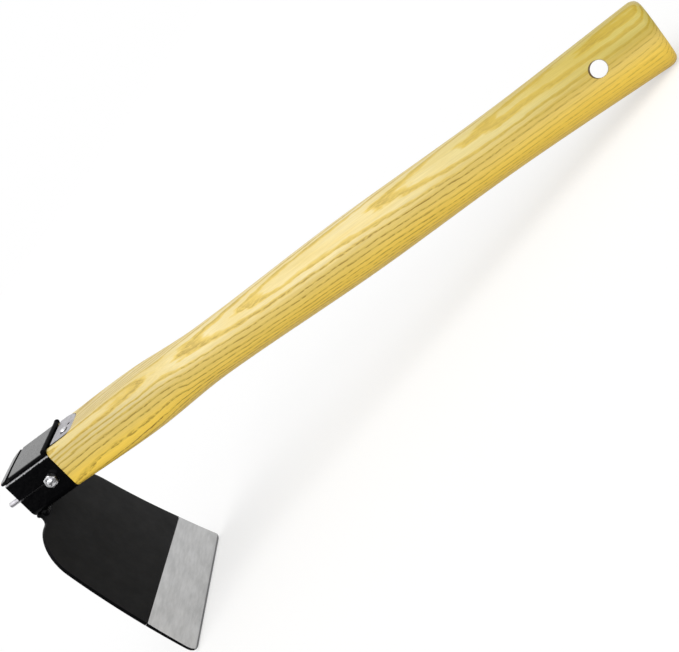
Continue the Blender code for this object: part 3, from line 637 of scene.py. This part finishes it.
# the panel is glossy, and a copy that barely reflects keeps the rims, the groove and the roll deep black as
# painted shade
def isBorderFace(face):
    x, z = face.center.x, face.center.z
    slope = math.tan(math.radians(topPlate["noseAngle"]))
    surface = topPlate["high"] - max(0.0, slope * (topPlate["grooveX"] - x))
    inGroove = abs(x - topPlate["grooveX"]) < topPlate["grooveReach"] and z < surface - topPlate["grooveDip"]
    return abs(face.normal.z) < topPlate["flatness"] or x > topPlate["bandStart"] or inGroove


platePiece = makeTopPlate()
borderFaces = [isBorderFace(face) for face in platePiece.data.polygons]
settle(platePiece)
standFor(platePiece, "topPlate", "top_plate", panelEnamel, smoothBelow=50)
wearAlso(platePiece, shadedBorderEnamel, borderFaces)
print("top plate made:", len(platePiece.data.polygons), "faces")


# weld beads: overlapping squashed lumps run into one skin
welds = {"seed": 5, "half": 0.0158, "step": 0.00155, "wander": 0.00025, "swell": (0.90, 1.10),
         "squash": (1.0, 0.62, 1.0), "voxel": 0.00032, "smoothing": (0.5, 2),
         "front": {"x": -0.0277, "z": -0.01535, "radius": 0.0023},
         "back": {"x": -0.0322, "z": -0.0149, "radius": 0.0015}}


def makeWeld(side, chance):
    sizes = welds[side]
    lumps = []
    steps = round(2 * welds["half"] / welds["step"])
    for i in range(steps + 1):
        y = -welds["half"] + 2 * welds["half"] * i / steps
        wander = chance.uniform(-welds["wander"], welds["wander"])
        radius = sizes["radius"] * chance.uniform(*welds["swell"])
        lumps.append(addLump((sizes["x"] + wander, y, sizes["z"] + wander), radius, welds["squash"]))
    bead = joinAll(lumps)
    melt(bead, welds["voxel"], *welds["smoothing"])
    return bead


chance = random.Random(welds["seed"])
for side, node in (("front", "weld_front"), ("back", "weld_back")):
    bead = makeWeld(side, chance)
    settle(bead)
    standFor(bead, "weld" + side.capitalize(), node, blackEnamel, smoothBelow=60)
print("welds made")


# nut on the near side: a hexagon with its corners turned off, on the bolt's domed end
bolt = {
    "x": -0.0077, "z": -0.0008, "wall": 0.0188,
    "acrossFlats": 0.0070, "nutHeight": 0.0032, "headHeight": 0.0028,
    "turn": 14.0, "turnedShare": 0.985, "turnedAngle": 30.0,     # how a hexagon stands, and how its corners go
    "edgeRound": 0.00012,
    "radius": 0.0020, "slack": 0.00005, "bore": 0.0021, "boreMargin": 0.001,
    "endStand": 0.0009, "threads": 2, "firstThread": 0.55, "threadFlank": 0.3,
    "threadPitch": 0.0007, "threadDepth": 0.0003,
    "endFacing": 0.99, "endCorners": 8,                          # the end face looks outwards and has many corners
    "dome": ((0.00022, 0.80), (0.00016, 0.74), (0.00008, 0.60)),  # how far each step rises and narrows
}


# a chamfered hexagon that stands on y and reaches outwards by its height
def makeHexagon(y, height, outwards):
    centre = (bolt["x"], y + outwards * height / 2, bolt["z"])
    chooseNothing()
    bpy.ops.mesh.primitive_cylinder_add(vertices=6, radius=bolt["acrossFlats"] / math.sqrt(3), depth=height,
                                        location=centre, rotation=(math.pi / 2, math.radians(bolt["turn"]), 0))
    hexagon = fixPlace()
    chooseNothing()
    turned = bolt["acrossFlats"] / 2 * bolt["turnedShare"]
    wide = turned + height / math.tan(math.radians(bolt["turnedAngle"]))
    first, last = (turned, wide) if outwards > 0 else (wide, turned)
    bpy.ops.mesh.primitive_cone_add(vertices=64, radius1=first, radius2=last, depth=height,
                                    location=centre, rotation=(math.pi / 2, 0, 0))
    cutWith(hexagon, fixPlace(), "INTERSECT")
    return hexagon


def addRod(yStart, yEnd, radius):
    chooseNothing()
    bpy.ops.mesh.primitive_cylinder_add(vertices=48, radius=radius, depth=abs(yEnd - yStart),
                                        location=(bolt["x"], (yStart + yEnd) / 2, bolt["z"]),
                                        rotation=(math.pi / 2, 0, 0))
    return fixPlace()


def makeNut():
    seat = -bolt["wall"]
    margin = bolt["boreMargin"]
    nut = makeHexagon(seat, bolt["nutHeight"], -1)
    cutWith(nut, addRod(seat + margin, seat - bolt["nutHeight"] - margin, bolt["bore"]), "DIFFERENCE")
    roundEdges(nut, bolt["edgeRound"], segments=2, angle=25)
    return nut


# shank with a few thread ridges near its end and a dome on it, and a hexagon head on the far wall
def makeBolt():
    end = -bolt["wall"] - bolt["nutHeight"] - bolt["endStand"]
    shank = addRod(bolt["wall"], end, bolt["radius"] - bolt["slack"])
    pitch, flank = bolt["threadPitch"], bolt["threadFlank"]
    sink = 1 - bolt["threadDepth"] / bolt["radius"]
    bpy.ops.object.mode_set(mode="EDIT")
    for thread in range(bolt["threads"]):
        y = end + (thread + bolt["firstThread"]) * pitch
        for shift in (-flank, 0.0, flank):
            bpy.ops.mesh.select_all(action="SELECT")
            bpy.ops.mesh.bisect(plane_co=(0, y + shift * pitch, 0), plane_no=(0, 1, 0))
        pick("VERT", lambda v: abs(v.co.y - y) < touch / 10)
        bpy.ops.transform.resize(value=(sink, 1, sink), center_override=(bolt["x"], y, bolt["z"]))
    # the dome grows from the shank's flat end
    pick("FACE", lambda face: face.normal.y < -bolt["endFacing"] and len(face.verts) > bolt["endCorners"])
    for rise, width in bolt["dome"]:
        bpy.ops.mesh.extrude_region_move(TRANSFORM_OT_translate={"value": (0, -rise, 0)})
        bpy.ops.transform.resize(value=(width, 1, width), center_override=(bolt["x"], end, bolt["z"]))
    bpy.ops.object.mode_set(mode="OBJECT")
    head = makeHexagon(bolt["wall"], bolt["headHeight"], 1)
    roundEdges(head, bolt["edgeRound"], segments=2, angle=25)
    return joinAll([shank, head])


nutPiece = makeNut()
settle(nutPiece)
standFor(nutPiece, "boltNut", "bolt_nut", hardwareZinc, smoothBelow=30)
boltPiece = makeBolt()
settle(boltPiece)
standFor(boltPiece, "crossBolt", "cross_bolt", hardwareZinc, smoothBelow=40)
print("bolt and nut made")


# the blade, its ground edge and the wedge are copied with their edges rounded, and some faces look different
toolUp = Vector((math.sin(toolPlace["pitch"]), 0, math.cos(toolPlace["pitch"])))
faceTests = {"darkZincUp": 0.96, "rimX": 0.60}


# the wedge's upright sides with their rounding, and the wall of its spare hole: dark sheared steel on the sides,
# and painted shade on their rounding and in the hole
def isDarkZincFace(face):
    return abs(face.normal.dot(toolUp)) < faceTests["darkZincUp"]


# the narrow bevel that the tool stands on, painted darker as shade
def isBevel(face):
    return face.center.z < ground["bevelHeight"]


# the plate's thickness all round, which stays painted, in the darker enamel that barely reflects, as painted
# shade: its front and back look along X
def isPlateRim(face):
    return abs(face.normal.x) < faceTests["rimX"] and face.center.z > ground["bevelHeight"]


roundedPieces = (
    {"node": "blade", "name": "bladePlate", "slot": "black_paint", "finish": blackPaint, "round": 0.00045,
     "more": ((shadedBorderEnamel, isPlateRim),)},
    {"node": "cutting_edge", "name": "groundEdge", "slot": "ground_steel", "finish": groundSteel, "round": 0.00022,
     "more": ((shadedBevelSteel, isBevel), (shadedBorderEnamel, isPlateRim))},
    {"node": "wedge", "name": "wedgePlate", "slot": "zinc_plate", "finish": wedgeZinc, "round": 0.00032,
     "more": ((shearedAndShadeZinc, isDarkZincFace),)},
)
for row in roundedPieces:
    piece = copyNode(row["node"])
    roundEdges(piece, row["round"], segments=3, angle=40)
    standFor(piece, row["name"], row["node"], row["finish"], smoothBelow=30)
    for another, test in row["more"]:
        wearAlso(piece, another, [test(face) for face in piece.data.polygons])
print("blade, edge and wedge made")


# painted shade on the wedge: a dark ring under the nail's head, and a dark disc at the bottom of the spare hole
shadeDiscs = {"nail": {"place": (0.0113, -0.0057), "low": 0.0135, "high": 0.01408, "radius": 0.0026},
        "hole": {"place": (0.0133, 0.0), "low": 0.0129, "high": 0.0134, "radius": 0.0012}}


# a thin dark disc laid on the wedge as painted shade
def makeShadeDisc(spot):
    middle = (*spot["place"], (spot["low"] + spot["high"]) / 2)
    chooseNothing()
    bpy.ops.mesh.primitive_cylinder_add(vertices=32, radius=spot["radius"], depth=spot["high"] - spot["low"],
                                        location=middle)
    disc = fixPlace()
    settle(disc)
    wear(disc, shearedAndShadeZinc)
    return disc


# both painted shade discs join the wedge
joinAll([bpy.data.objects["wedgePlate"], makeShadeDisc(shadeDiscs["nail"]), makeShadeDisc(shadeDiscs["hole"])])
print("dirt on the wedge made")


# plain pale floor, soft light, and a dark card for the tool to reflect
studio = {
    "ambient": 0.50,
    "floorSize": 60.0, "floorHeight": -0.0002, "floorColour": 0.48, "floorGlow": 0.55,
    "lights": ({"name": "keyLight", "from": (-0.15, -0.40, 0.90), "angle": 70.0, "power": 1.25},
               {"name": "frontLight", "from": (0.20, -0.97, 0.06), "angle": 70.0, "power": 1.7}),
    "cardLow": (-1.6, -2.6), "cardHigh": (1.6, -0.16), "cardHeight": 0.001, "cardColour": 0.01,
}
# the photograph's camera: lengths in metres, lens and sensor in millimetres
photoView = {"place": (0.216168, -0.598170, 0.200000), "turn": (0.7518009, 0.4858626, 0.3805566, -0.2321847),
             "sensor": 36.0, "lens": 65.42, "nearest": 0.01, "farthest": 60.0}


# 1 for rays that show the background, 0 for rays that light the object
def backgroundRays(tree):
    path = addNode(tree, "ShaderNodeLightPath")
    seen = maths(tree, "MAXIMUM", path.outputs["Is Camera Ray"], path.outputs["Is Glossy Ray"])
    return maths(tree, "MAXIMUM", seen, path.outputs["Is Transmission Ray"])


def makeFloor():
    chooseNothing()
    bpy.ops.mesh.primitive_plane_add(size=studio["floorSize"], location=(0, 0, studio["floorHeight"]))
    floor = fixPlace()
    floor.name = "studioFloor"
    material, tree, shader = newMaterial("floorPaper")
    grey = studio["floorColour"]
    setSockets(shader, {"Base Color": (grey, grey, grey, 1.0), "Roughness": 0.9, "Specular IOR Level": 0.0,
                        "Emission Color": (1, 1, 1, 1)})
    glow = times(tree, backgroundRays(tree), studio["floorGlow"])
    connect(tree, glow, shader.inputs["Emission Strength"])
    wear(floor, material)


def makeWorld():
    world = bpy.data.worlds.new("studioWorld")
    world.use_nodes = True
    tree = world.node_tree
    background = tree.nodes["Background"]
    background.inputs["Color"].default_value = (1, 1, 1, 1)
    strength = maths(tree, "MULTIPLY_ADD", backgroundRays(tree), 1.0 - studio["ambient"], studio["ambient"])
    connect(tree, strength, background.inputs["Strength"])
    bpy.context.scene.world = world


# broad even light from one side, so the floor is lit alike everywhere
def makeBroadLight(row):
    light = bpy.data.lights.new(row["name"], "SUN")
    light.angle = math.radians(row["angle"])
    light.energy = row["power"]
    lamp = bpy.data.objects.new(row["name"], light)
    lamp.rotation_euler = (-Vector(row["from"])).to_track_quat("-Z", "Y").to_euler()
    bpy.context.scene.collection.objects.link(lamp)


# dark card on the floor before the tool, seen only in gloss
def makeDarkCard(low, high):
    chooseNothing()
    middle = [(a + b) / 2 for a, b in zip(low, high)]
    bpy.ops.mesh.primitive_plane_add(size=1, location=(*middle, studio["cardHeight"]))
    bpy.context.object.scale = (high[0] - low[0], high[1] - low[1], 1)
    card = fixPlace()
    card.name = "darkCard"
    material, tree, shader = newMaterial("cardBlack")
    grey = studio["cardColour"]
    setSockets(shader, {"Base Color": (grey, grey, grey, 1), "Specular IOR Level": 0.0})
    wear(card, material)
    card.visible_camera = False
    card.visible_diffuse = False
    card.visible_shadow = False


def makeCamera():
    data = bpy.data.cameras.new("photoCamera")
    data.sensor_width = photoView["sensor"]
    data.lens = photoView["lens"]
    data.clip_start = photoView["nearest"]
    data.clip_end = photoView["farthest"]
    camera = bpy.data.objects.new("photoCamera", data)
    camera.location = photoView["place"]
    camera.rotation_mode = "QUATERNION"
    camera.rotation_quaternion = photoView["turn"]
    bpy.context.scene.collection.objects.link(camera)
    bpy.context.scene.camera = camera


makeFloor()
makeWorld()
for row in studio["lights"]:
    makeBroadLight(row)
makeDarkCard(studio["cardLow"], studio["cardHigh"])
makeCamera()
bpy.context.scene.view_settings.view_transform = "Standard"
print("studio set")
